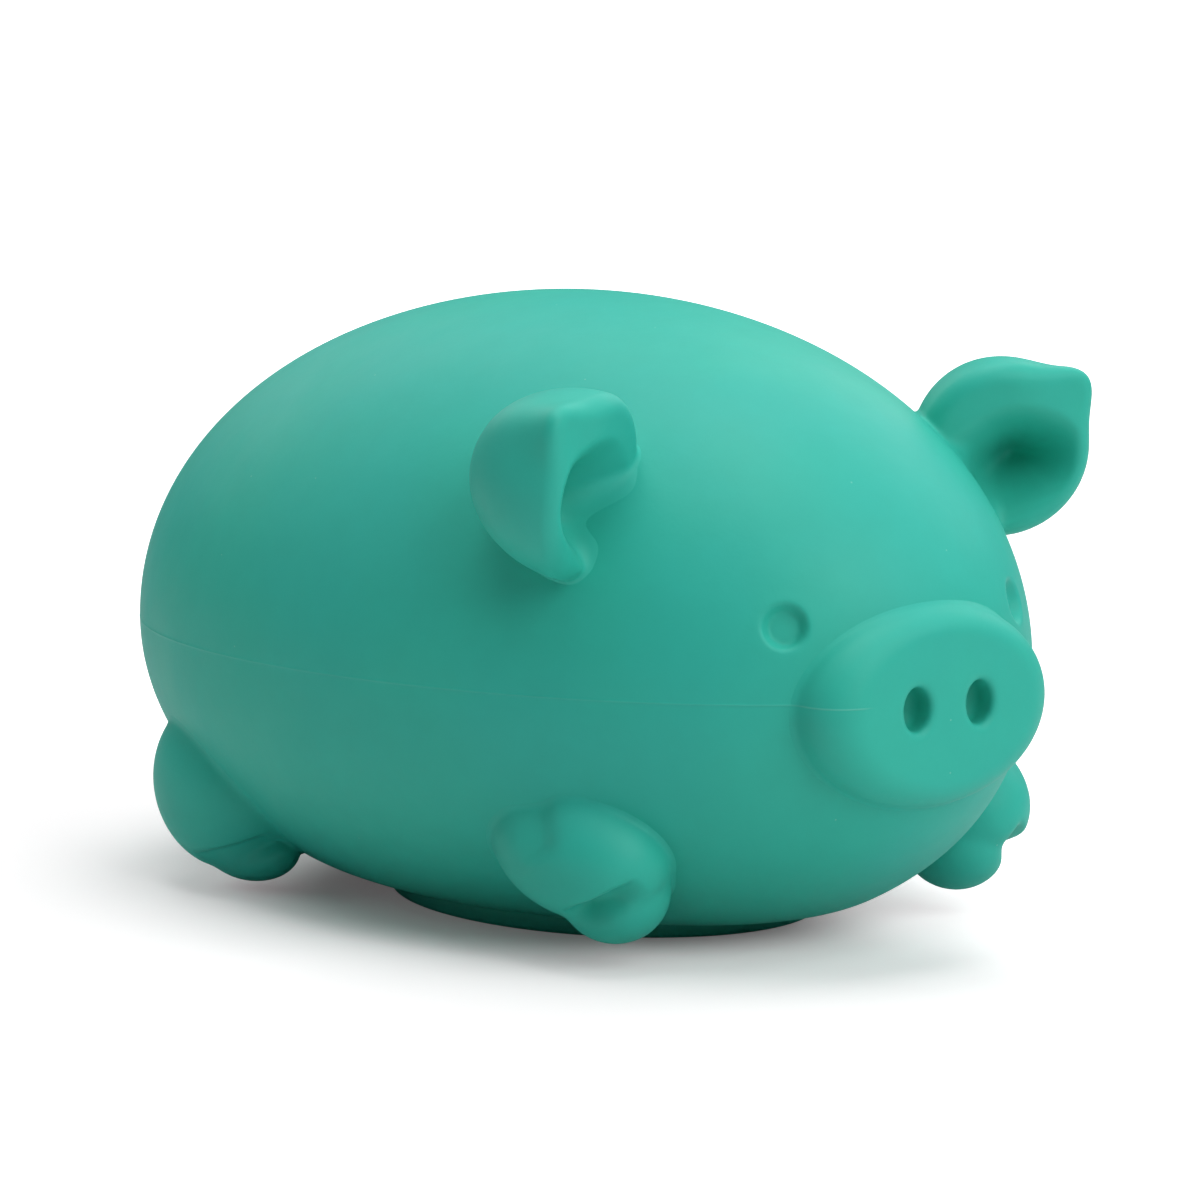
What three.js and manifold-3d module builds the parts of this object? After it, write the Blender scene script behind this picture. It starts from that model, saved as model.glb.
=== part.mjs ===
// A soft squeeze toy in the shape of a small pig, lying on the flat pad under its belly.
// Millimetres, +Z up, snout along -Y; the origin is on the ground under the middle of the body.
//
// The toy is a thin moulded skin in two halves, bonded round the middle and filled with soft foam.
// The ears, snout, feet and tail are solid lumps of the same rubber, and a stopper closes the filling hole.
import * as THREE from "three";
import { mergeVertices } from "three/addons/utils/BufferGeometryUtils.js";
import Module from "manifold-3d";

// Body: an egg on its side, a little fuller towards the rear
const BODY_LENGTH = 96;
const BODY_WIDTH = 67;
const SEAM_HEIGHT = 23.3; // the moulds part here, at the widest line of the body
const BACK_HEIGHT = 30.4; // from the seam to the top of the back
const BELLY_DEPTH = 26.5; // from the seam to the lowest point of the round belly
const REAR_FULLNESS = 0.075; // the share by which the rear is wider than the middle, and the front narrower
const BACK_ROUNDING = 0.93; // under 1 the ends of the back are blunter than an ellipse
const BELLY_ROUNDING = 0.8;
const WALL_THICKNESS = 2.4;

// Belly pad and filling hole
const PAD_WIDTH = 34.4;
const PAD_LENGTH = 44;
const PAD_STEP_HEIGHT = 0.9; // how far the pad stands below the flattened belly
const PAD_EDGE_WIDTH = 0.6;
const PAD_FORWARD_LENGTH = 3; // the pad's middle lies this far ahead of the body's
const BELLY_FLAT_HEIGHT = 2.4; // the height over which the round belly turns into its flat
const HOLE_DIAMETER = 8;
const SEAT_DIAMETER = 12;
const SEAT_DEPTH = 1.6;

// Eyes: small round dents with a soft lip
const EYE_SPACING = 25.2;
const EYE_HEIGHT = 29.6;
const EYE_DIAMETER = 4;
const EYE_DEPTH = 1.1;
const EYE_LIP_WIDTH = 0.2;

// Snout: an oval drum rounded from its root to a flat face, with two nostrils
const SNOUT_WIDTH = 25;
const SNOUT_HEIGHT = 17.2;
const SNOUT_CENTRE_HEIGHT = 22.4;
const SNOUT_STAND_LENGTH = 1; // how far its face stands ahead of the body's front end
const SNOUT_EDGE_RADIUS = 3.6;
const SNOUT_ROOT_LENGTH = 11; // from the face to the end that is cut by the head
const NOSTRIL_SPACING = 6.8;
const NOSTRIL_CENTRE_HEIGHT = 22.6;
const NOSTRIL_WIDTH = 3;
const NOSTRIL_HEIGHT = 3.8;
const NOSTRIL_DEPTH = 2.4; // from the face, so that they run on into the skin

// Ears: bowls that open forwards, given for the left one; one corner of the rim is drawn out to a tip
const EAR_PLACE = { across: 0.667, along: -0.648, upwards: 0.5576 }; // shares of the body's half sizes
const EAR_WIDTH = 15.6;
const EAR_HEIGHT = 15.8;
const EAR_BOWL_DEPTH = 11.2;
const EAR_RIM_RADIUS = 1.6;
const EAR_INWARD_ANGLE = 28; // degrees that the bowl is turned from straight ahead to the middle
const EAR_DOWNWARD_ANGLE = 12.5; // and that it looks below level
const TIP_ANGLE = 40.5; // degrees up from the outer side of the rim to the tip
const TIP_SPREAD_ANGLE = 18; // half the angle over which the rim is drawn out
const TIP_LENGTH = 2.9; // how much further out than the rest of the rim the tip lies
const TIP_FADE_DEPTH = 2.8; // the tip fades into the round bowl over this depth
const PIT_WIDTH = 12.8;
const PIT_HEIGHT = 11.6;
const PIT_DEPTH = 7.6;
const PIT_CURVE = 1.5; // over 1 the hollow flares out softly into the rim
const PIT_OUTWARD_LENGTH = 0.6; // the hollow's middle lies this far outwards in the rim
const PIT_STRETCH = 2; // towards the head the hollow is this much longer, so that the head closes it

// Feet, given for the left side: oval lobes, two to a foot
const FRONT_LOBE = {
  place: { across: 0.606, along: -0.539, upwards: -0.499 },
  size: { width: 12.8, length: 17.8, height: 12 },
  tilt: new THREE.Euler(0.21, -0.07, -0.06),
};
const FRONT_TOE = {
  place: { across: 0.566, along: -0.597, upwards: -0.6325 },
  size: { width: 9, length: 10, height: 9 },
  tilt: new THREE.Euler(0, 0, 0),
};
const FRONT_CLEFT = {
  place: { across: 0.679, along: -0.6865, upwards: -0.6627 },
  size: { width: 3.2, length: 6.4, height: 1.6 },
  tilt: new THREE.Euler(2.952, -0.553, 0.557),
};
const REAR_LOBE = {
  place: { across: 0.746, along: 0.408, upwards: -0.509 },
  size: { width: 11.8, length: 16.8, height: 16 },
  tilt: new THREE.Euler(0, 0, 0),
};
const REAR_TOE = {
  place: { across: 0.6985, along: 0.3854, upwards: -0.732 },
  size: { width: 7.2, length: 11.8, height: 6.4 },
  tilt: new THREE.Euler(0, 0, 0),
};

// Tail: one small curl lying against the rear
const TAIL_HEIGHT = 29;
const TAIL_CURL_RADIUS = 2.7;
const TAIL_THICKNESS = 2.6;
const TAIL_TIP_THICKNESS = 1.4;
const TAIL_TURNS = 0.95;
const TAIL_TIGHTENING = 0.35; // the share of its curl radius that it loses towards the tip
const TAIL_ROUNDING = 0.06; // the share of its length over which each end is rounded
const TAIL_STAND_HEIGHT = 0.7; // from the skin to the middle of the tail

// Clearances between neighbouring pieces
const GAP = 0.3;

const TIP = THREE.MathUtils.degToRad(TIP_ANGLE);
const TIP_SPREAD = THREE.MathUtils.degToRad(TIP_SPREAD_ANGLE);

const wasm = await Module();
wasm.setup();

/** A closed mesh as a solid for cutting and joining. */
function solidOf(geometry) {
  const bare = geometry.index ? geometry.toNonIndexed() : geometry.clone();
  bare.deleteAttribute("normal");
  bare.deleteAttribute("uv");
  const merged = mergeVertices(bare, 1e-4);
  const mesh = new wasm.Mesh({
    numProp: 3,
    vertProperties: merged.attributes.position.array,
    triVerts: new Uint32Array(merged.index.array),
  });
  return new wasm.Manifold(mesh);
}

/** A named mesh from a finished solid. */
function pieceOf(name, solid, material) {
  const cut = solid.getMesh();
  const geometry = new THREE.BufferGeometry();
  geometry.setAttribute("position", new THREE.BufferAttribute(new Float32Array(cut.vertProperties), 3));
  geometry.setIndex(new THREE.BufferAttribute(new Uint32Array(cut.triVerts), 1));
  geometry.computeVertexNormals();
  const piece = new THREE.Mesh(geometry, material);
  piece.name = name;
  return piece;
}

/**
 * A closed surface over a grid. Rows advance from one end point to the other, and columns turn
 * right-handed about that advance; place(along, around) takes both as shares from 0 to 1.
 */
function closedSurface(rows, columns, place) {
  const points = [place(0, 0)];
  for (let row = 1; row < rows; row++)
    for (let column = 0; column < columns; column++) points.push(place(row / rows, column / columns));
  points.push(place(1, 0));

  const at = (row, column) => 1 + (row - 1) * columns + (column % columns);
  const last = points.length - 1;
  const triangles = [];
  for (let column = 0; column < columns; column++) {
    triangles.push(0, at(1, column + 1), at(1, column));
    for (let row = 1; row < rows - 1; row++) {
      const [near, nearNext] = [at(row, column), at(row, column + 1)];
      const [far, farNext] = [at(row + 1, column), at(row + 1, column + 1)];
      triangles.push(near, nearNext, farNext, near, farNext, far);
    }
    triangles.push(at(rows - 1, column), at(rows - 1, column + 1), last);
  }
  const geometry = new THREE.BufferGeometry().setFromPoints(points);
  geometry.setIndex(triangles);
  return geometry;
}

/** The larger of two values, rounded off where they come within reach of each other. */
function softMax(a, b, reach) {
  const near = Math.max(reach - Math.abs(a - b), 0) / reach;
  return Math.max(a, b) + (near * near * reach) / 4;
}

/** Half sizes of the body's oval section at a lengthwise angle, with the surface moved inwards by inset. */
function bodySection(angle, inset) {
  const along = Math.cos(angle);
  const full = Math.max(Math.sin(angle), 0);
  return {
    y: (BODY_LENGTH / 2 - inset) * along,
    halfWidth: (BODY_WIDTH / 2 - inset) * full * (1 + REAR_FULLNESS * along),
    rise: (BACK_HEIGHT - inset) * full ** BACK_ROUNDING,
    drop: (BELLY_DEPTH - inset) * full ** BELLY_ROUNDING,
  };
}

/** The whole body, closed: angle 0 is the rear and pi the front. */
function bodyGeometry(rows, columns, inset) {
  return closedSurface(rows, columns, (along, around) => {
    const section = bodySection(Math.PI * along, inset);
    const turn = 2 * Math.PI * around;
    const side = Math.sin(turn);
    const z = SEAM_HEIGHT + (side >= 0 ? section.rise : section.drop) * side;
    const floor = PAD_STEP_HEIGHT + inset;
    const settled = side >= 0 ? z : softMax(z, floor, BELLY_FLAT_HEIGHT);
    return new THREE.Vector3(section.halfWidth * Math.cos(turn), section.y, settled);
  });
}

/** The point of the body's front or rear at a given x and height, found by halving the lengthwise angle. */
function bodyEndAt(x, z, end) {
  let [inner, outer] = [Math.PI / 2, end === "front" ? Math.PI : 0];
  for (let step = 0; step < 40; step++) {
    const middle = (inner + outer) / 2;
    const section = bodySection(middle, 0);
    const rise = z >= SEAM_HEIGHT ? section.rise : section.drop;
    const inside = (x / section.halfWidth) ** 2 + ((z - SEAM_HEIGHT) / rise) ** 2 < 1;
    if (inside) inner = middle;
    else outer = middle;
  }
  return new THREE.Vector3(x, bodySection(inner, 0).y, z);
}

/** The outward direction of the body's front or rear at a given x and height. */
function bodyNormalAt(x, z, end) {
  const reach = 0.5;
  const across = bodyEndAt(x + reach, z, end).sub(bodyEndAt(x - reach, z, end));
  const upwards = bodyEndAt(x, z + reach, end).sub(bodyEndAt(x, z - reach, end));
  const normal = new THREE.Vector3().crossVectors(across, upwards).normalize();
  return end === "front" ? normal : normal.negate();
}

/** A turned solid about the Y axis from points of radius and y that start and end on the axis. */
function turned(profile, segments) {
  const points = profile.map(([radius, y]) => new THREE.Vector2(radius, y));
  return new THREE.LatheGeometry(points, segments);
}

/** The same about the Z axis, standing on the given height. */
function turnedUpright(profile, segments) {
  return turned(profile, segments).rotateX(Math.PI / 2);
}

// How finely the soft shapes are divided
const OUTER_ROWS = 34;
const OUTER_COLUMNS = 44;
const INNER_ROWS = 20;
const INNER_COLUMNS = 28;
const BOWL_ROWS = 20;
const BOWL_COLUMNS = 36;
const PIT_ROWS = 15;
const PIT_COLUMNS = 28;
const LOBE_ROWS = 16;
const LOBE_COLUMNS = 24;
const TAIL_ROWS = 22;
const TAIL_COLUMNS = 10;

// The body as the solids that the pieces are cut by
const bodySolid = solidOf(bodyGeometry(OUTER_ROWS, OUTER_COLUMNS, 0));
const clearanceSolid = solidOf(bodyGeometry(OUTER_ROWS, OUTER_COLUMNS, -GAP));
const cavitySolid = solidOf(bodyGeometry(INNER_ROWS, INNER_COLUMNS, WALL_THICKNESS));

/** A block that holds everything above the seam, or everything below it. */
function seamBlock(above) {
  const size = 2 * BODY_LENGTH;
  const block = new THREE.BoxGeometry(size, size, size);
  block.translate(0, 0, SEAM_HEIGHT + (above ? size / 2 : -size / 2));
  return solidOf(block);
}

/** A dent's lip and the ball that presses it in, set square on the front of the head. */
function eyeTools(side) {
  const x = (side * EYE_SPACING) / 2;
  const at = bodyEndAt(x, EYE_HEIGHT, "front");
  const normal = bodyNormalAt(x, EYE_HEIGHT, "front");
  const square = new THREE.Quaternion().setFromUnitVectors(new THREE.Vector3(0, 0, 1), normal);
  const ballRadius = ((EYE_DIAMETER / 2) ** 2 + EYE_DEPTH ** 2) / (2 * EYE_DEPTH);
  const lip = new THREE.TorusGeometry(EYE_DIAMETER / 2 + EYE_LIP_WIDTH / 2, EYE_LIP_WIDTH, 6, 22);
  const ball = new THREE.SphereGeometry(ballRadius, 20, 12);
  lip.applyQuaternion(square).translate(at.x, at.y, at.z);
  const stand = at.clone().addScaledVector(normal, ballRadius - EYE_DEPTH);
  ball.translate(stand.x, stand.y, stand.z);
  return { lip: solidOf(lip), ball: solidOf(ball) };
}

/** Both nostrils, pressed into the snout's face and through it into the skin. */
function nostrils() {
  const face = BODY_LENGTH / 2 + SNOUT_STAND_LENGTH;
  const [left, right] = [1, -1].map((side) => {
    const pit = new THREE.SphereGeometry(1, 18, 12);
    pit.scale(NOSTRIL_WIDTH / 2, NOSTRIL_DEPTH, NOSTRIL_HEIGHT / 2);
    return solidOf(pit.translate((side * NOSTRIL_SPACING) / 2, -face, NOSTRIL_CENTRE_HEIGHT));
  });
  return left.add(right);
}

/** The back, head and face above the seam, with the eyes and the upper ends of the nostrils pressed in. */
function upperSkin() {
  let skin = bodySolid.intersect(seamBlock(true));
  for (const side of [1, -1]) {
    const eye = eyeTools(side);
    skin = skin.add(eye.lip).subtract(eye.ball);
  }
  return skin.subtract(cavitySolid).subtract(nostrils());
}

/** The belly below the seam, with its flat oval pad, filling hole and the seat of the stopper. */
function lowerSkin() {
  const radius = PAD_WIDTH / 2;
  const reach = PAD_STEP_HEIGHT + WALL_THICKNESS + BELLY_FLAT_HEIGHT;
  const sole = radius - PAD_EDGE_WIDTH;
  const pad = turnedUpright([[0, 0], [sole, 0], [radius, PAD_EDGE_WIDTH], [radius, reach], [0, reach]], 48);
  pad.scale(1, PAD_LENGTH / PAD_WIDTH, 1).translate(0, -PAD_FORWARD_LENGTH, 0);
  const top = reach + 1;
  const [hole, seat] = [HOLE_DIAMETER / 2, SEAT_DIAMETER / 2];
  const outline = [[0, -1], [seat, -1], [seat, SEAT_DEPTH], [hole, SEAT_DEPTH], [hole, top], [0, top]];
  const bore = turnedUpright(outline, 32);
  bore.translate(0, -PAD_FORWARD_LENGTH, 0);
  const skin = bodySolid.intersect(seamBlock(false)).add(solidOf(pad));
  return skin.subtract(cavitySolid).subtract(nostrils()).subtract(solidOf(bore));
}

/** The stopper: its head fills the seat under the belly and its stem fills the hole. */
function fillPlug() {
  const [stem, head] = [HOLE_DIAMETER / 2 - GAP, SEAT_DIAMETER / 2 - GAP];
  const top = PAD_STEP_HEIGHT + WALL_THICKNESS;
  const outline = [[0, GAP], [head, GAP], [head, SEAT_DEPTH], [stem, SEAT_DEPTH], [stem, top], [0, top]];
  return solidOf(turnedUpright(outline, 32).translate(0, -PAD_FORWARD_LENGTH, 0));
}

/** The foam inside, shaped by the skin round it. */
function softCore() {
  return solidOf(bodyGeometry(INNER_ROWS, INNER_COLUMNS, WALL_THICKNESS + GAP));
}

/** The snout: a turned drum drawn oval, rooted in the head, with two nostrils pressed in. */
function snout() {
  const radius = SNOUT_WIDTH / 2;
  const face = BODY_LENGTH / 2 + SNOUT_STAND_LENGTH;
  const root = face - SNOUT_ROOT_LENGTH;
  const edge = [];
  const steps = 7;
  for (let step = 0; step <= steps; step++) {
    const turn = (step / steps) * (Math.PI / 2);
    const inwards = SNOUT_EDGE_RADIUS * (1 - Math.cos(turn));
    const back = SNOUT_EDGE_RADIUS * (1 - Math.sin(turn));
    edge.push([radius - inwards, face - back]);
  }
  const drum = turned([[0, root], [radius, root], ...edge, [0, face]], 44);
  drum.scale(1, 1, SNOUT_HEIGHT / SNOUT_WIDTH).rotateZ(Math.PI).translate(0, 0, SNOUT_CENTRE_HEIGHT);
  return solidOf(drum).subtract(clearanceSolid).subtract(nostrils());
}

/** A place given as shares of the body's half sizes, measured from the middle of the seam. */
function placeOnBody({ across, along, upwards }) {
  const height = upwards > 0 ? BACK_HEIGHT : BELLY_DEPTH;
  const [x, y] = [(across * BODY_WIDTH) / 2, (along * BODY_LENGTH) / 2];
  return new THREE.Vector3(x, y, SEAM_HEIGHT + upwards * height);
}

/** The left ear's own directions and place: outwards and up in the rim, and the way that the bowl opens. */
function earFrame() {
  const inwards = THREE.MathUtils.degToRad(EAR_INWARD_ANGLE);
  const downwards = THREE.MathUtils.degToRad(EAR_DOWNWARD_ANGLE);
  const level = Math.cos(downwards);
  const [x, y] = [-Math.sin(inwards) * level, -Math.cos(inwards) * level];
  const facing = new THREE.Vector3(x, y, -Math.sin(downwards));
  const across = new THREE.Vector3(0, 0, 1).cross(facing).normalize();
  const up = new THREE.Vector3().crossVectors(facing, across);
  return new THREE.Matrix4().makeBasis(across, up, facing).setPosition(placeOnBody(EAR_PLACE));
}

/** The bowl's radius as a share of its rim's, and its depth, from the back (0) to the rim's middle (1). */
function bowlProfile(along) {
  const [backEnd, rimEnd] = [0.6, 0.85];
  const round = (2 * EAR_RIM_RADIUS) / EAR_WIDTH;
  if (along < backEnd) {
    const turn = (along / backEnd) * (Math.PI / 2);
    const behindRim = (EAR_BOWL_DEPTH - EAR_RIM_RADIUS) * Math.cos(turn);
    return { share: Math.sin(turn), depth: EAR_RIM_RADIUS + behindRim };
  }
  if (along < rimEnd) {
    const turn = ((along - backEnd) / (rimEnd - backEnd)) * (Math.PI / 2);
    return { share: 1 - round * (1 - Math.cos(turn)), depth: EAR_RIM_RADIUS * (1 - Math.sin(turn)) };
  }
  return { share: ((1 - round) * (1 - along)) / (1 - rimEnd), depth: 0 };
}

/** The filled bowl of an ear in its own directions, opening along +Z, with the tip drawn out of its rim. */
function earBowl() {
  return closedSurface(BOWL_ROWS, BOWL_COLUMNS, (along, around) => {
    const { share, depth } = bowlProfile(along);
    const turn = 2 * Math.PI * around;
    const away = Math.abs(Math.atan2(Math.sin(turn - TIP), Math.cos(turn - TIP)));
    const tip = Math.exp(-((away / TIP_SPREAD) ** 2) - depth / TIP_FADE_DEPTH);
    const drawn = 1 + (TIP_LENGTH / (EAR_WIDTH / 2)) * tip;
    const [x, y] = [(EAR_WIDTH / 2) * Math.cos(turn), (EAR_HEIGHT / 2) * Math.sin(turn)];
    return new THREE.Vector3(share * drawn * x, share * drawn * y, -depth);
  });
}

/** The hollow that is pressed into the bowl: a soft funnel, drawn long where the head closes it. */
function earPit() {
  const headwards = new THREE.Vector3(-0.57, -0.82, 0).normalize();
  const [funnelEnd, lift, stand] = [0.8, 0.3, 1.5];
  return closedSurface(PIT_ROWS, PIT_COLUMNS, (along, around) => {
    const share = Math.min(along / funnelEnd, (1 - along) / (1 - funnelEnd));
    const height = along <= funnelEnd ? lift - PIT_DEPTH * (1 - share) ** PIT_CURVE : stand;
    const turn = 2 * Math.PI * around;
    const point = new THREE.Vector3((PIT_WIDTH / 2) * Math.cos(turn), (PIT_HEIGHT / 2) * Math.sin(turn), 0);
    point.multiplyScalar(share);
    point.addScaledVector(headwards, Math.max(point.dot(headwards), 0) * (PIT_STRETCH - 1));
    return point.add(new THREE.Vector3(PIT_OUTWARD_LENGTH, 0, height));
  });
}

/** The left ear: its bowl with the hollow pressed in, set on the head. */
function ear() {
  const frame = earFrame();
  return solidOf(earBowl().applyMatrix4(frame)).subtract(solidOf(earPit().applyMatrix4(frame)));
}

/** An oval lump with its own tilt. */
function lobe({ place, size, tilt }) {
  const lump = new THREE.SphereGeometry(0.5, LOBE_COLUMNS, LOBE_ROWS);
  lump.scale(size.width, size.length, size.height);
  lump.applyMatrix4(new THREE.Matrix4().makeRotationFromEuler(tilt));
  const at = placeOnBody(place);
  return solidOf(lump.translate(at.x, at.y, at.z));
}

/** The tail: a tapering tube along one flat curl against the rear. */
function tailGeometry() {
  const at = bodyEndAt(0, TAIL_HEIGHT, "rear");
  const normal = bodyNormalAt(0, TAIL_HEIGHT, "rear");
  const right = new THREE.Vector3(-1, 0, 0);
  const up = new THREE.Vector3().crossVectors(normal, right);
  const centreline = (along) => {
    const turn = 2 * Math.PI * TAIL_TURNS * along - Math.PI / 2;
    const radius = TAIL_CURL_RADIUS * (1 - TAIL_TIGHTENING * along);
    return at
      .clone()
      .addScaledVector(right, radius * Math.cos(turn))
      .addScaledVector(up, radius * Math.sin(turn))
      .addScaledVector(normal, TAIL_STAND_HEIGHT);
  };
  return closedSurface(TAIL_ROWS, TAIL_COLUMNS, (along, around) => {
    const ahead = centreline(along + 0.01).sub(centreline(along - 0.01)).normalize();
    const outwards = new THREE.Vector3().crossVectors(ahead, normal);
    const round = Math.min(along / TAIL_ROUNDING, (1 - along) / TAIL_ROUNDING, 1);
    const thickness = TAIL_THICKNESS + (TAIL_TIP_THICKNESS - TAIL_THICKNESS) * along;
    const radius = (thickness / 2) * Math.sqrt(Math.max(1 - (1 - round) ** 2, 0));
    const turn = 2 * Math.PI * around;
    return centreline(along)
      .addScaledVector(normal, radius * Math.cos(turn))
      .addScaledVector(outwards, radius * Math.sin(turn));
  });
}

const rubber = (colour) => new THREE.MeshStandardMaterial({ color: colour, roughness: 0.55, metalness: 0 });
const TEAL = 0x2f9f8c;
const foam = new THREE.MeshStandardMaterial({ color: 0xe9e4d6, roughness: 0.9, metalness: 0 });

const toy = new THREE.Group();
toy.add(pieceOf("upper_skin", upperSkin(), rubber(TEAL)));
toy.add(pieceOf("lower_skin", lowerSkin(), rubber(TEAL)));
toy.add(pieceOf("soft_core", softCore(), foam));
toy.add(pieceOf("fill_plug", fillPlug(), rubber(0x2b937f)));
toy.add(pieceOf("snout", snout(), rubber(TEAL)));
toy.add(pieceOf("tail", solidOf(tailGeometry()).subtract(clearanceSolid), rubber(TEAL)));
const limbs = {
  ear: ear(),
  front_foot: lobe(FRONT_LOBE).add(lobe(FRONT_TOE)).subtract(lobe(FRONT_CLEFT)),
  rear_foot: lobe(REAR_LOBE).add(lobe(REAR_TOE)),
};
for (const [kind, solid] of Object.entries(limbs)) {
  const left = solid.subtract(clearanceSolid);
  toy.add(pieceOf(`left_${kind}`, left, rubber(TEAL)));
  toy.add(pieceOf(`right_${kind}`, left.mirror([1, 0, 0]), rubber(TEAL)));
}

export default toy;
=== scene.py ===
"""Dressed model of a soft squeeze toy, a small pig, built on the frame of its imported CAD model.

Lengths are in millimetres in the CAD frame until a mesh is made: +Z up, the snout towards -Y, and the
origin on the ground under the middle of the body. Every piece carries its own rest coordinates, so that
its finish stays put when the toy is squeezed.
"""
import logging
from abc import ABC, abstractmethod
from dataclasses import dataclass, field
from enum import Enum
from itertools import product
from typing import Callable

import bmesh
import bpy
import numpy as np
from mathutils import Euler, Matrix, Vector


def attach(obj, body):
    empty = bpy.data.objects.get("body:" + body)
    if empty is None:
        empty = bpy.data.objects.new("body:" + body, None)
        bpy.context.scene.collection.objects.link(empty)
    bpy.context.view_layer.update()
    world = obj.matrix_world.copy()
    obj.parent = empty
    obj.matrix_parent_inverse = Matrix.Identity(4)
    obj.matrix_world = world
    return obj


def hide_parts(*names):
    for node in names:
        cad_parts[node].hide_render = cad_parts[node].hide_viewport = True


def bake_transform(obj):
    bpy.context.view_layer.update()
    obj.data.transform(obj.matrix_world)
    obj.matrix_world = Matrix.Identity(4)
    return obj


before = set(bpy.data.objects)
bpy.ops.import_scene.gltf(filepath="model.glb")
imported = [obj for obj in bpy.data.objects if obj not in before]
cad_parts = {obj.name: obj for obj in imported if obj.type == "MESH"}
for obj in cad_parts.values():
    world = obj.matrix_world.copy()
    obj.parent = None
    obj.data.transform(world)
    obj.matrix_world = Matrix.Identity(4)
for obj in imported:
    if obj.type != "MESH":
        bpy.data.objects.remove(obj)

log = logging.getLogger("squeeze_toy")

MM = 0.001
REST = "rest"
Points = np.ndarray
Field = Callable[[Points], np.ndarray]
Surface = tuple[Points, np.ndarray]
Triple = tuple[float, float, float]


# Shape maths


def soft_max(a: np.ndarray, b: np.ndarray, reach: float) -> np.ndarray:
    """The larger of two values, rounded off where they come within reach of each other."""
    near = np.maximum(reach - np.abs(a - b), 0.0) / reach
    return np.maximum(a, b) + near * near * reach / 4.0


def soft_min(a: np.ndarray, b: np.ndarray, reach: float) -> np.ndarray:
    """The smaller of two values, rounded off in the same way."""
    return -soft_max(-a, -b, reach)


def ease(value: np.ndarray, low: float, high: float) -> np.ndarray:
    """A smooth step from 0 at low to 1 at high."""
    t = np.clip((value - low) / (high - low), 0.0, 1.0)
    return t * t * (3.0 - 2.0 * t)


def unit(vector: np.ndarray) -> np.ndarray:
    """The same directions with length 1."""
    return vector / np.maximum(np.linalg.norm(vector, axis=-1, keepdims=True), 1e-12)


def gradient(field_of: Field, points: Points, step: float = 0.02) -> np.ndarray:
    """The slope of a field at each point, by central differences.

    Args:
        field_of: The field, one value for each point.
        points: The points.
        step: How far to each side of a point the field is read.

    Returns:
        One direction for each point, as long as the field is steep.
    """
    shifts = np.eye(3) * step
    sides = [field_of(points + shift) - field_of(points - shift) for shift in shifts]
    return np.stack(sides, axis=-1) / (2.0 * step)


def graded(low: float, high: float, count: int, spots: list[Triple]) -> np.ndarray:
    """Values from low to high that lie closer together round some spots.

    Args:
        low: The first value.
        high: The last value.
        count: How many values.
        spots: Middle, half width and extra density of each spot.

    Returns:
        The values in rising order.
    """
    even = np.linspace(low, high, 4001)
    density = np.ones_like(even)
    for middle, width, extra in spots:
        density += extra * np.exp(-(((even - middle) / width) ** 2))
    total = np.concatenate([[0.0], np.cumsum((density[1:] + density[:-1]) / 2.0)])
    return np.interp(np.linspace(0.0, total[-1], count), total, even)


def ellipsoid(points: Points, radii: np.ndarray) -> np.ndarray:
    """How far each point lies outside an ellipsoid round the origin: its excess level over the slope there.

    Args:
        points: The points.
        radii: The ellipsoid's three half sizes.

    Returns:
        The distance to first order, below 0 inside.
    """
    scaled = points / radii
    level = np.linalg.norm(scaled, axis=-1)
    slope = np.linalg.norm(scaled / radii, axis=-1)
    return (level - 1.0) * level / np.maximum(slope, 1e-9)


def rounded_join(a: np.ndarray, b: np.ndarray, radius: float) -> np.ndarray:
    """The larger of two distances, with the edge between them rounded by a radius."""
    corner = np.hypot(np.maximum(a + radius, 0.0), np.maximum(b + radius, 0.0))
    return corner + np.minimum(np.maximum(a, b), -radius)


def cell_quads(inside: np.ndarray, number: np.ndarray) -> np.ndarray:
    """The faces between the numbered cells of a lattice, one round each crossed edge.

    Args:
        inside: For each lattice point, whether it lies inside the solid.
        number: For each cell, the number of its point, or -1.

    Returns:
        Four point numbers a face, turned so that the faces look outwards.
    """
    faces = []
    for axis in range(3):
        near = [slice(1, -1)] * 3
        far = [slice(1, -1)] * 3
        near[axis], far[axis] = slice(None, -1), slice(1, None)
        first, second = inside[tuple(near)], inside[tuple(far)]
        start = np.array([0 if other == axis else 1 for other in range(3)])
        at = np.argwhere(first != second) + start
        step_b, step_c = np.roll(np.eye(3, dtype=int), -axis - 1, axis=0)[:2]
        ring = (at - step_b - step_c, at - step_c, at, at - step_b)
        quads = np.stack([number[tuple(cell.T)] for cell in ring], axis=-1)
        outwards = first[first != second]
        faces.append(np.where(outwards[:, None], quads, quads[:, ::-1]))
    return np.concatenate(faces)


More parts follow.
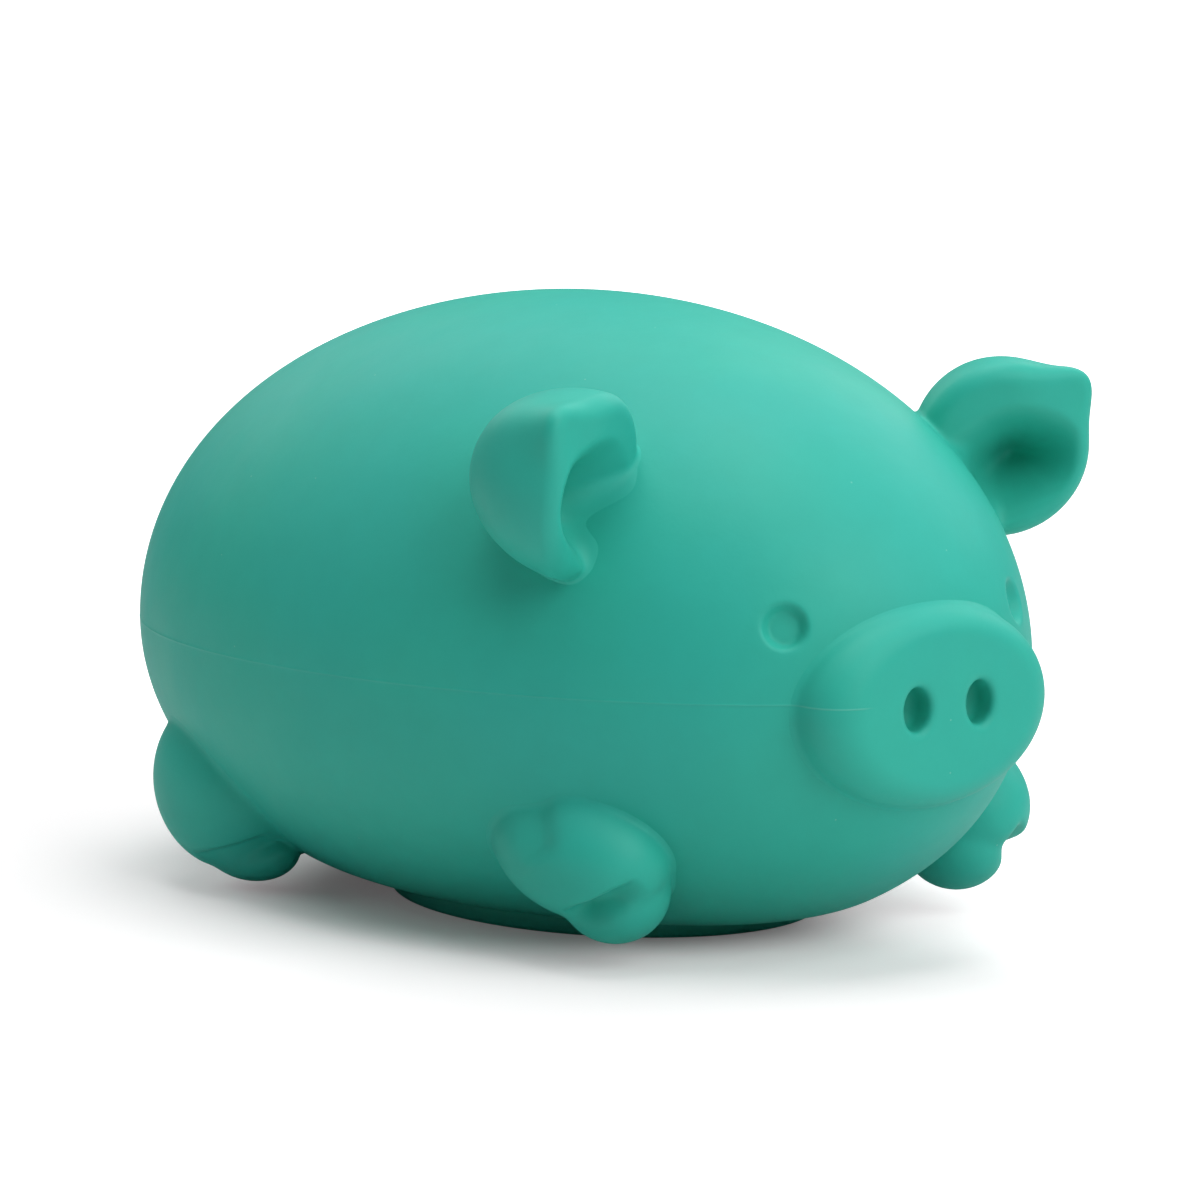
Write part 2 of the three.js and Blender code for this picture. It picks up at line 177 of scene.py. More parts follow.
def surface_net(field_of: Field, low: Points, high: Points, step: float, rounds: int = 5) -> Surface:
    """A closed mesh over the zero level of a field, inside a box.

    Each cell of a lattice that the surface crosses gets one point. The points are then evened out among
    their neighbours and drawn back on to the surface, a few times in turn.

    Args:
        field_of: A value below 0 inside the solid and above 0 outside it.
        low: The lowest corner of the box.
        high: Its highest corner.
        step: The lattice's spacing.
        rounds: How often the points are evened out.

    Returns:
        The points and the faces, four point numbers each.
    """
    axes = [np.arange(start, stop + step, step) for start, stop in zip(low, high)]
    lattice = np.stack(np.meshgrid(*axes, indexing="ij"), axis=-1)
    inside = field_of(lattice) < 0.0
    ends = product((slice(None, -1), slice(1, None)), repeat=3)
    count = sum(inside[corner].astype(np.int8) for corner in ends)
    mixed = (count > 0) & (count < 8)
    number = np.full(mixed.shape, -1)
    number[mixed] = np.arange(mixed.sum())
    quads = cell_quads(inside, number)
    points = lattice[:-1, :-1, :-1][mixed] + step / 2
    starts, stops = quads.ravel(), np.roll(quads, -1, axis=1).ravel()
    shared = np.bincount(starts, minlength=len(points))[:, None]
    for _ in range(rounds):
        totals = [np.bincount(starts, points[stops, k], len(points)) for k in range(3)]
        points = np.stack(totals, axis=-1) / shared
        slope = gradient(field_of, points)
        steepness = np.maximum(np.sum(slope**2, axis=-1), 0.05)
        shift = slope * (field_of(points) / steepness)[..., None]
        reach = np.maximum(np.linalg.norm(shift, axis=-1), 1e-9)
        points = points - shift * np.minimum(1.0, step / reach)[..., None]
    return points, quads


# The body that every piece is set against


@dataclass(frozen=True)
class Body:
    """The egg-shaped body: an oval section that narrows to both ends, with a flat under the belly."""

    length: float = 96.0
    width: float = 67.0
    seam: float = 23.3
    back: float = 30.4
    belly: float = 26.5
    rear_fullness: float = 0.075
    back_rounding: float = 0.93
    belly_rounding: float = 0.8
    floor: float = 0.9
    flattening: float = 2.4

    def surface(self, angle: np.ndarray, turn: np.ndarray, inset: float = 0.0) -> Points:
        """Points of the skin: cosines lengthwise, powers of sines for the section's half width and heights.

        Args:
            angle: Lengthwise angles, 0 at the rear and pi at the front.
            turn: Turns round the section, from the left side over the back.
            inset: How far inside the skin the points lie.

        Returns:
            The points, one for each angle and turn.
        """
        along, full = np.cos(angle), np.maximum(np.sin(angle), 0.0)
        side = np.sin(turn)
        half_width = (self.width / 2 - inset) * full * (1 + self.rear_fullness * along)
        rise = (self.back - inset) * full**self.back_rounding
        drop = (self.belly - inset) * full**self.belly_rounding
        z = self.seam + np.where(side >= 0, rise, drop) * side
        settled = soft_max(z, np.full_like(z, self.floor + inset), self.flattening)
        z = np.where(side >= 0, z, settled)
        y = (self.length / 2 - inset) * along
        return np.stack(np.broadcast_arrays(half_width * np.cos(turn), y, z), axis=-1)

    def level(self, points: Points) -> np.ndarray:
        """The length of each point after the egg is scaled to a unit sphere, less 1.

        Args:
            points: The points.

        Returns:
            A value below 0 inside the egg and above 0 outside it.
        """
        x, y, z = np.moveaxis(points, -1, 0)
        along = y / (self.length / 2)
        full = np.sqrt(np.maximum(1 - along**2, 1e-4))
        above = z >= self.seam
        height = np.where(above, self.back, self.belly)
        rounding = np.where(above, self.back_rounding, self.belly_rounding)
        across = x / (self.width / 2 * (1 + self.rear_fullness * along))
        upwards = (z - self.seam) / height * full ** (1 - rounding)
        return np.sqrt(along**2 + across**2 + upwards**2) - 1

    def depth(self, points: Points) -> np.ndarray:
        """How far each point lies outside the skin: the egg's level over its slope, and the flat under it.

        Args:
            points: The points.

        Returns:
            The distance to first order, below 0 inside.
        """
        slope = np.linalg.norm(gradient(self.level, points), axis=-1)
        egg = self.level(points) / np.maximum(slope, 1e-6)
        return soft_max(egg, self.floor - points[..., 2], self.flattening)

    def normal(self, points: Points) -> np.ndarray:
        """The outward direction of the skin near each point."""
        return unit(gradient(self.depth, points, 0.05))

    def front(self, x: float, z: float) -> np.ndarray:
        """The point of the face at a given x and height."""
        return self._nearest(x, z, np.pi / 2, np.pi)

    def rear(self, x: float, z: float) -> np.ndarray:
        """The point of the rear at a given x and height."""
        return self._nearest(x, z, 0.0, np.pi / 2)

    def _nearest(self, x: float, z: float, first: float, last: float) -> np.ndarray:
        """The point of the skin on a lengthwise line.

        Args:
            x: The line's place across.
            z: Its height.
            first: The lengthwise angle at which the search starts.
            last: The angle at which it ends.

        Returns:
            The point of the line whose level is nearest to 0.
        """
        y = self.length / 2 * np.cos(np.linspace(first, last, 20001))
        line = np.stack([np.full_like(y, x), y, np.full_like(y, z)], axis=-1)
        return line[np.argmin(np.abs(self.level(line)))]


BODY = Body()
WALL = 2.4
GAP = 0.3
EYE_PLACE = (12.6, 29.6)
NOSTRIL_PLACE = (3.4, 22.6)
PAD_FORWARD = 3.0


# Shader maths


class Graph:
    """The nodes of a material or a world."""

    def __init__(self, owner: bpy.types.Material | bpy.types.World) -> None:
        """Starts with the owner's own nodes."""
        owner.use_nodes = True
        self.tree = owner.node_tree

    def fill(self, node: bpy.types.Node, inputs: dict) -> None:
        """Sets or links some inputs of a node.

        Args:
            node: The node.
            inputs: A value, a Socket or another node's output for each input, by name or number.
        """
        for key, value in inputs.items():
            source = value.output if isinstance(value, Socket) else value
            if isinstance(source, bpy.types.NodeSocket):
                self.tree.links.new(source, node.inputs[key])
            else:
                node.inputs[key].default_value = source

    def node(self, kind: str, inputs: dict, **settings: object) -> bpy.types.Node:
        """Adds a node.

        Args:
            kind: The node's type, without the words that all shader nodes start with.
            inputs: What its inputs get, as fill takes it.
            **settings: Its other settings, which are set first.

        Returns:
            The new node.
        """
        node = self.tree.nodes.new(f"ShaderNode{kind}")
        for name, setting in settings.items():
            setattr(node, name, setting)
        self.fill(node, inputs)
        return node

    def camera_ray(self) -> "Socket":
        """1 where the camera looks straight at the surface, and 0 for all light that falls on it."""
        return Socket(self, self.node("LightPath", {}).outputs["Is Camera Ray"])


class Socket:
    """An output of a shader node that adds, multiplies and compares like a number."""

    def __init__(self, graph: Graph, output: bpy.types.NodeSocket) -> None:
        """Wraps one output of a graph's node."""
        self.graph = graph
        self.output = output

    def _math(self, operation: str, *values: "Socket | float", clamp: bool = False) -> "Socket":
        """The result of a Math node on some values."""
        node = self.graph.node("Math", dict(enumerate(values)), operation=operation, use_clamp=clamp)
        return Socket(self.graph, node.outputs[0])

    def __add__(self, other: "Socket | float") -> "Socket":
        """The sum with another value."""
        return self._math("ADD", self, other)

    def __sub__(self, other: "Socket | float") -> "Socket":
        """What is left when another value is taken off."""
        return self._math("SUBTRACT", self, other)

    def __rsub__(self, other: float) -> "Socket":
        """What is left of a number when this value is taken off."""
        return self._math("SUBTRACT", other, self)

    def __mul__(self, other: "Socket | float") -> "Socket":
        """The product with another value."""
        return self._math("MULTIPLY", self, other)

    def __abs__(self) -> "Socket":
        """The value without its sign."""
        return self._math("ABSOLUTE", self)

    __radd__ = __add__
    __rmul__ = __mul__

    def below(self, limit: float) -> "Socket":
        """1 where the value is under the limit and 0 elsewhere."""
        return self._math("LESS_THAN", self, limit)

    def clamped(self) -> "Socket":
        """The value held between 0 and 1."""
        return self._math("ADD", self, 0.0, clamp=True)

    def fade(self, start: float, end: float) -> "Socket":
        """A smooth step.

        Args:
            start: The value at which it is 0.
            end: The value at which it is 1.

        Returns:
            The step, held at 0 and 1 beyond its ends.
        """
        inputs = {"Value": self, "From Min": start, "From Max": end}
        step = self.graph.node("MapRange", inputs, interpolation_type="SMOOTHSTEP")
        return Socket(self.graph, step.outputs["Result"])


class Shader(Graph):
    """A material with one principled shader, whose patterns follow the rest position of the surface."""

    def __init__(self, name: str) -> None:
        """Makes the material and reads the rest position, in millimetres.

        Args:
            name: The material's name.
        """
        self.material = bpy.data.materials.new(name)
        super().__init__(self.material)
        self.place = self.node("Attribute", {}, attribute_name=REST).outputs["Vector"]
        split = self.node("SeparateXYZ", {0: self.place})
        self.x, self.y, self.z = (Socket(self, output) for output in split.outputs)

    def noise(self, size: float, detail: float = 3.0, roughness: float = 0.5) -> Socket:
        """Cloudy noise.

        Args:
            size: About how large its blotches are, in millimetres.
            detail: How many finer layers it has.
            roughness: How much each finer layer counts.

        Returns:
            A value from 0 to 1.
        """
        inputs = {"Vector": self.place, "Scale": 1.0 / size, "Detail": detail, "Roughness": roughness}
        return Socket(self, self.node("TexNoise", inputs).outputs["Fac"])

    def cells(self, spacing: float) -> tuple[Socket, Socket]:
        """Cells round scattered points.

        Args:
            spacing: About how far the points are apart, in millimetres.

        Returns:
            The distance to the nearest point as a share of the spacing, and a random number for the cell.
        """
        node = self.node("TexVoronoi", {"Vector": self.place, "Scale": 1.0 / spacing})
        split = self.node("SeparateColor", {0: node.outputs["Color"]})
        return Socket(self, node.outputs["Distance"]), Socket(self, split.outputs[0])

    def blend(self, factor: Socket, start: object, end: object) -> bpy.types.NodeSocket:
        """A colour between two others.

        Args:
            factor: 0 for the first colour and 1 for the second.
            start: The first colour, as three numbers or an earlier blend.
            end: The second colour.

        Returns:
            The blended colour.
        """
        start, end = ((*tone, 1.0) if isinstance(tone, tuple) else tone for tone in (start, end))
        return self.node("Mix", {"Factor": factor, 6: start, 7: end}, data_type="RGBA").outputs[2]

    def bump(self, height: Socket, strength: float) -> bpy.types.NodeSocket:
        """The normals of a relief whose height is in millimetres."""
        return self.node("Bump", {"Height": height, "Strength": strength, "Distance": MM}).outputs["Normal"]

    def dress(self, inputs: dict) -> bpy.types.Material:
        """The material, with some inputs of its principled shader set or linked."""
        self.fill(self.tree.nodes["Principled BSDF"], inputs)
        return self.material


# Finishes


@dataclass(frozen=True)
class RubberFinish:
    """Matte moulded rubber, with faint clouds of colour, dust specks, and the parting line's bead with a
    painted highlight along it.
    """

    name: str = "skin_rubber"
    green: Triple = (0.032, 0.480, 0.370)
    blue: Triple = (0.030, 0.465, 0.380)
    cloud_size: float = 26.0
    mottle_size: float = 3.5
    mottle_contrast: float = 0.5
    mottle_share: float = 0.12
    mottle_tone: float = 0.8
    roughness: float = 0.52
    roughness_spread: float = 0.16
    sheen_patch: float = 8.0
    grain_size: float = 0.35
    grain_height: float = 0.012
    wave_size: float = 5.0
    wave_height: float = 0.10
    # colour of the dust specks, and of the painted highlight along the parting line
    dust_and_highlight: Triple = (0.30, 0.66, 0.56)
    speck_spacing: float = 1.6
    speck_radius: float = 0.050
    speck_share: float = 0.07
    speck_height: float = 0.03
    speck_strength: float = 0.35
    has_line: bool = True
    line_width: float = 0.11
    line_height: float = 0.04
    line_highlight_strength: float = 0.06
    snout_line_highlight_strength: float = 0.16

    def material(self) -> bpy.types.Material:
        """The node material: tones and mottle by soft noise, relief by fine noise, specks in a few cells,
        and a painted highlight along the parting line.

        Returns:
            The new material.
        """
        shader = Shader(self.name)
        clouds = shader.noise(self.cloud_size, detail=4.0).fade(0.35, 0.65)
        tone = shader.blend(clouds, self.green, self.blue)
        mottle = (shader.noise(self.mottle_size, detail=5.0, roughness=0.65) - 0.5) * self.mottle_contrast
        darker = tuple(self.mottle_tone * part for part in self.green)
        tone = shader.blend((mottle + self.mottle_share).clamped(), tone, darker)
        distance, chance = shader.cells(self.speck_spacing)
        speck = distance.below(self.speck_radius) * chance.below(self.speck_share)
        grain = shader.noise(self.grain_size, detail=2.0) * self.grain_height
        height = grain + shader.noise(self.wave_size) * self.wave_height + speck * self.speck_height
        specks_and_highlight = speck * self.speck_strength
        if self.has_line:
            line, on_snout = self._line(shader)
            height = height + line * self.line_height
            # painted highlight: the parting line is coloured lighter, most on the snout's right side
            specks_and_highlight = specks_and_highlight + line * (on_snout * self.snout_line_highlight_strength + self.line_highlight_strength)
        uneven = (shader.noise(self.sheen_patch) - 0.5) * self.roughness_spread
        return shader.dress({
            "Base Color": shader.blend(specks_and_highlight.clamped(), tone, self.dust_and_highlight),
            "Roughness": uneven + self.roughness,
            "Specular IOR Level": 0.35,
            "IOR": 1.42,
            "Normal": shader.bump(height, 0.6),
        })

    def _line(self, shader: Shader) -> tuple[Socket, Socket]:
        """The mark of the parting line, which raises its bead and paints a highlight along it; it ends on
        the side of the snout.

        Args:
            shader: The shader that gets the mark.

        Returns:
            The mark, and how far each place lies on the snout's right side, where its painted highlight is
            stronger.
        """
        on_side = (shader.x * -1.0).fade(8.0, 9.5)
        on_drum = shader.y.fade(-43.0, -46.0)
        behind_face = shader.y.fade(-45.0, -44.0)
        line = abs(shader.z - BODY.seam).fade(self.line_width, 0.0)
        return line * (on_side + behind_face).clamped(), on_side * on_drum


@dataclass(frozen=True)
class FoamFinish:
    """Open soft foam: pale, dull and full of small pores."""

    name: str = "foam"
    pale: Triple = (0.80, 0.76, 0.66)
    pore_shade: Triple = (0.52, 0.47, 0.37)
    pore_spacing: float = 0.9
    pore_depth: float = 0.25
    roughness: float = 0.88

    def material(self) -> bpy.types.Material:
        """The node material: dull pits round scattered points, coloured darker as painted shade.

        Returns:
            The new material.
        """
        shader = Shader(self.name)
        distance, chance = shader.cells(self.pore_spacing)
        pores = distance.fade(0.45, 0.15) * (chance * 0.7 + 0.3)
        height = pores * -self.pore_depth + shader.noise(0.4) * 0.05
        return shader.dress({
            # painted shade: the pores are coloured darker than the foam
            "Base Color": shader.blend(pores, self.pale, self.pore_shade),
            "Roughness": pores * 0.08 + self.roughness,
            "Specular IOR Level": 0.2,
            "Normal": shader.bump(height, 0.8),
        })


class Finish(Enum):
    """The finishes of the toy, by the material slot of the record."""

    SKIN = ("skin_rubber", RubberFinish())
    PLUG = ("plug_rubber", RubberFinish(
        name="plug_rubber", green=(0.036, 0.385, 0.290), blue=(0.034, 0.365, 0.295), has_line=False
    ))
    FOAM = ("foam", FoamFinish())

    @property
    def slot(self) -> str:
        """The record's name of the slot."""
        return self.value[0]

    def material(self) -> bpy.types.Material:
        """The material, made on first use.

        Returns:
            The material that all pieces of this finish share.
        """
        made = bpy.data.materials.get(f"{self.slot}_finish")
        if made is None:
            made = self.value[1].material()
            made.name = f"{self.slot}_finish"
        return made


# Pieces


@dataclass
class Piece(ABC):
    """One finished piece: its mesh, its finish and the CAD nodes that it stands for."""

    name: str
    nodes: tuple[str, ...]
    finish: Finish = Finish.SKIN
    sharp_angle: float = 50.0

    @abstractmethod
    def surface(self) -> Surface:
        """The piece's points in millimetres and its faces, four point numbers each."""

    @abstractmethod
    def attach(self, piece: bpy.types.Object) -> None:
        """Ties the finished piece to its body, or bakes its place into its mesh."""

    def build(self) -> bpy.types.Object:
        """Makes the mesh, dresses it and hides the CAD parts that it stands for.

        Returns:
            The finished object.
        """
        points, quads = self.surface()
        mesh = bpy.data.meshes.new(self.name)
        mesh.from_pydata((points * MM).tolist(), [], quads.tolist())
        self._weld(mesh)
        mesh.polygons.foreach_set("use_smooth", np.ones(len(mesh.polygons), dtype=bool))
        mesh.set_sharp_from_angle(angle=np.radians(self.sharp_angle))
        self._remember_rest(mesh)
        piece = bpy.data.objects.new(self.name, mesh)
        bpy.context.scene.collection.objects.link(piece)
        piece.data.materials.append(self.finish.material())
        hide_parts(*self.nodes)
        self.attach(piece)
        log.info("%s: %d faces", self.name, len(mesh.polygons))
        return piece

    @staticmethod
    def _weld(mesh: bpy.types.Mesh) -> None:
        """Joins the points that coincide at poles and rims, and turns the faces outwards.

        Args:
            mesh: The mesh, which is changed.
        """
        work = bmesh.new()
        work.from_mesh(mesh)
        bmesh.ops.remove_doubles(work, verts=work.verts, dist=1e-3 * MM)
        bmesh.ops.dissolve_degenerate(work, edges=work.edges, dist=1e-3 * MM)
        if work.calc_volume(signed=True) < 0:
            bmesh.ops.reverse_faces(work, faces=work.faces)
        work.to_mesh(mesh)
        work.free()
        mesh.update()

    @staticmethod
    def _remember_rest(mesh: bpy.types.Mesh) -> None:
        """Stores the rest position of each point in millimetres for the finish.

        Args:
            mesh: The mesh, which gets the attribute.
        """
        place = np.empty(len(mesh.vertices) * 3, dtype=np.float32)
        mesh.vertices.foreach_get("co", place)
        attribute = mesh.attributes.new(REST, "FLOAT_VECTOR", "POINT")
        attribute.data.foreach_set("vector", place / MM)


@dataclass
class GridPiece(Piece):
    """A piece whose surface is a grid of points that closes on itself."""

    closed_rows: bool = field(default=False, kw_only=True)

    @abstractmethod
    def grid(self) -> Points:
        """Rows of points in millimetres; each row is a closed ring."""

    def surface(self) -> Surface:
        """The grid's points, and one face for each four neighbours in it.

        Returns:
            The points and the faces.
        """
        points = self.grid()
        rows, columns = points.shape[:2]
        index = np.arange(rows * columns).reshape(rows, columns)
        if self.closed_rows:
            index = np.concatenate([index, index[:1]])
        ahead = np.roll(index, -1, axis=1)
        quads = np.stack([index[:-1], ahead[:-1], ahead[1:], index[1:]], axis=-1)
        return points.reshape(-1, 3), quads.reshape(-1, 4)


@dataclass
class Squeezed(Piece):
    """A piece of the toy whose place is baked into its mesh.

    Its start and end, both places in metres, are not used.
    """

    start: Triple = (0.0, 0.0, 0.0)
    end: Triple = (0.0, 0.0, 0.032)

    def attach(self, piece: bpy.types.Object) -> None:
        """Bakes the piece's place into its mesh."""
        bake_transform(piece)


@dataclass(frozen=True)
class Dent:
    """A round dent in the face with a flat bottom and a soft lip."""

    x: float
    height: float
    floor_radius: float
    mouth_radius: float
    depth: float
    lip: float = 0.0
    lip_width: float = 0.45
    lip_distance: float = 0.35
    reach: float = 4.0

    def rise(self, points: Points) -> tuple[np.ndarray, np.ndarray]:
        """How the dent moves the skin: a smooth step down inside its mouth, and a low wave round it.

        Args:
            points: Points near the skin.

        Returns:
            How far the skin is raised near each point, and the direction in which it is.
        """
        at = BODY.front(self.x, self.height)
        normal = BODY.normal(at[None])[0]
        away = points - at
        height = away @ normal
        radius = np.linalg.norm(away - height[..., None] * normal, axis=-1)
        dent = self.depth * (1.0 - ease(radius, self.floor_radius, self.mouth_radius))
        lip = self.lip * np.exp(-(((radius - self.mouth_radius - self.lip_distance) / self.lip_width) ** 2))
        return np.where(np.abs(height) < self.reach, lip - dent, 0.0), normal

    def press(self, points: Points) -> Points:
        """The points of the skin with the dent pressed in."""
        rise, normal = self.rise(points)
        return points + rise[..., None] * normal


def dent_pair(place: tuple[float, float], **sizes: float) -> tuple[Dent, Dent]:
    """Two dents of the same sizes, at a place on the left half of the face and at its mirror image."""
    return Dent(place[0], place[1], **sizes), Dent(-place[0], place[1], **sizes)


EYES = dent_pair(EYE_PLACE, floor_radius=1.15, mouth_radius=2.1, depth=0.9, lip=0.02)
NOSTRIL_BEDS = dent_pair(NOSTRIL_PLACE, floor_radius=2.4, mouth_radius=3.2, depth=2.1)


@dataclass
class SkinHalf(Squeezed, GridPiece):
    """The skin above or below the parting line, a shell of even thickness."""

    above: bool = True
    rows: int = 236
    outer_columns: int = 190
    inner_columns: int = 26
    bead: float = 0.03
    bead_width: float = 0.16
    eye_fullness: float = 0.45
    eye_turn: float = 0.45
    dents: tuple[Dent, ...] = ()

    def grid(self) -> Points:
        """Rings round the wall's section, over the outside from side to side and back inside.

        The rings, and the points along them, lie closer together at the edges and round the eyes.

        Returns:
            One row of points for each ring, from the rear to the front.
        """
        at_eyes = np.pi - np.arcsin(self.eye_fullness)
        angle = graded(0.0, np.pi, self.rows, [(at_eyes, 0.10, 2.6 if self.above else 0.0)])
        edges = [(turn, 0.02, 7.0) for turn in (0.0, np.pi)]
        eyes = [(turn, 0.2, 0.8) for turn in (self.eye_turn, np.pi - self.eye_turn) if self.above]
        over = 1 if self.above else -1
        turn = graded(0.0, np.pi, self.outer_columns, edges + eyes) * over
        outer = BODY.surface(angle[:, None], turn[None, :])
        outer = outer + BODY.normal(outer) * self._bead(outer)[..., None]
        for dent in self.dents:
            outer = dent.press(outer)
        back = np.linspace(np.pi, 0.0, self.inner_columns) * over
        inner = BODY.surface(angle[:, None], back[None, :], WALL)
        outer[:, [0, -1], 2] = BODY.seam
        return np.concatenate([outer, inner], axis=1)

    def _bead(self, points: Points) -> np.ndarray:
        """The height of the fine bead that the moulds leave where they meet: a bell curve over the line.

        Args:
            points: Points of the skin.

        Returns:
            The height at each point, which runs out at both ends of the body.
        """
        away = (points[..., 2] - BODY.seam) / self.bead_width
        ends = ease(BODY.length / 2 - np.abs(points[..., 1]), 0.0, 1.5)
        return self.bead * np.exp(-(away**2)) * ends


@dataclass
class Sculpted(Piece):
    """A solid lump that grows out of the skin with a fillet and has its root hidden under it.

    It is worked out inside a box from low to high. Beyond the fillet its surface sinks a little under the
    skin, and its root ends where it is rooted deep enough. The dents are those of the skin round it.
    """

    low: Triple = (0.0, 0.0, 0.0)
    high: Triple = (0.0, 0.0, 0.0)
    step: float = 0.25
    fillet: float = 0.6
    sink: float = 0.12
    rooted: float = 1.2
    side: int = 1
    dents: tuple[Dent, ...] = EYES

    @abstractmethod
    def lump(self, points: Points) -> np.ndarray:
        """How far each point lies outside the left lump alone."""

    def fillet_at(self, points: Points) -> np.ndarray:
        """The reach of the fillet near each point."""
        return np.full(points.shape[:-1], self.fillet)

    def field_of(self, points: Points) -> np.ndarray:
        """The smooth smaller one of lump and skin, which beyond the fillet dives under the skin and ends.

        Args:
            points: The points.

        Returns:
            How far each point lies outside the piece, below 0 inside.
        """
        lump, reach = self.lump(points), self.fillet_at(points)
        skin = BODY.depth(points) - sum(dent.rise(points)[0] for dent in self.dents)
        joined = soft_min(lump, skin, reach)
        sunk = joined + self.sink * ease(lump, 0.6 * reach, 1.1 * reach)
        root_bottom, root_side = -skin - self.rooted, lump - 1.3 * reach - 0.3
        return np.maximum(sunk, np.maximum(root_bottom, root_side))

    def surface(self) -> Surface:
        """The zero level of the field, mirrored for a piece of the right side.

        Returns:
            The points and the faces.
        """
        points, quads = surface_net(self.field_of, self.low, self.high, self.step)
        if self.side < 0:
            quads = quads[:, ::-1]
        return points * np.array([self.side, 1.0, 1.0]), quads


@dataclass
class Snout(Squeezed, Sculpted):
    """The oval drum of the snout, rounded from its root to a flat face, with two nostrils."""

    half_width: float = 12.5
    half_height: float = 8.6
    middle_height: float = 22.4
    face: float = 49.0
    edge: float = 3.6
    nostril_radii: tuple[float, float] = (1.45, 1.85)
    nostril_depth: float = 2.7
    nostril_floor: float = 1.0
    nostril_edge: float = 0.6
    dents: tuple[Dent, ...] = EYES + NOSTRIL_BEDS

    def lump(self, points: Points) -> np.ndarray:
        """An oval cylinder with a rounded front edge, less two oval pits with rounded floors.

        Args:
            points: The points.

        Returns:
            How far each point lies outside the snout.
        """
        x, y, z = np.moveaxis(points, -1, 0)
        rim = np.hypot(x, (z - self.middle_height) * self.half_width / self.half_height) - self.half_width
        drum = rounded_join(rim, -y - self.face, self.edge)
        across, upwards = self.nostril_radii
        nostril_x, nostril_height = NOSTRIL_PLACE
        for aside in (x + nostril_x, x - nostril_x):
            wall = (np.hypot(aside / across, (z - nostril_height) / upwards) - 1.0) * across
            pit = rounded_join(wall, y + self.face - self.nostril_depth, self.nostril_floor)
            drum = soft_max(drum, -pit, self.nostril_edge)
        return drum


@dataclass(frozen=True)
class Lobe:
    """An oval lump with its own tilt."""

    at: Triple
    radii: Triple
    tilt: Triple = (0.0, 0.0, 0.0)

    def depth(self, points: Points) -> np.ndarray:
        """How far each point lies outside the lobe, to first order."""
        turn = np.array(Euler(self.tilt).to_matrix())
        return ellipsoid((points - np.array(self.at)) @ turn, np.array(self.radii))


@dataclass(frozen=True)
class Groove:
    """A groove from one point of a foot to another, with a crisp side and a soft one."""

    start: Triple
    end: Triple
    crisp_side: Triple
    depth: float
    crisp: float
    soft: float
    opening: float = 0.35
    closing: float = 0.85

    def carve(self, points: Points) -> np.ndarray:
        """A bell curve across the groove, wider on its soft side, that eases in and out along it.

        Args:
            points: The points.

        Returns:
            How deep the groove is at each point.
        """
        start, end = np.array(self.start), np.array(self.end)
        length = float(np.linalg.norm(end - start))
        ahead = (end - start) / length
        aside = np.array(self.crisp_side)
        aside = unit(aside - ahead * (aside @ ahead))
        share = (points - start) @ ahead / length
        over = (points - start) @ aside
        width = np.where(over > 0, self.crisp, self.soft)
        ends = ease(share, -0.1, self.opening) * (1.0 - ease(share, self.closing, 1.12))
        return self.depth * np.exp(-((over / width) ** 2)) * ends


@dataclass
class Foot(Squeezed, Sculpted):
    """A cloven foot: rounded lobes that meet in a tight cleft."""

    lobes: tuple[Lobe, ...] = ()
    grooves: tuple[Groove, ...] = ()
    fusion: float = 0.45

    def lump(self, points: Points) -> np.ndarray:
        """The smooth smallest of the lobes, with the grooves carved in.

        Args:
            points: The points.

        Returns:
            How far each point lies outside the foot.
        """
        foot = self.lobes[0].depth(points)
        for lobe in self.lobes[1:]:
            foot = soft_min(foot, lobe.depth(points), self.fusion)
        return foot + sum(groove.carve(points) for groove in self.grooves)


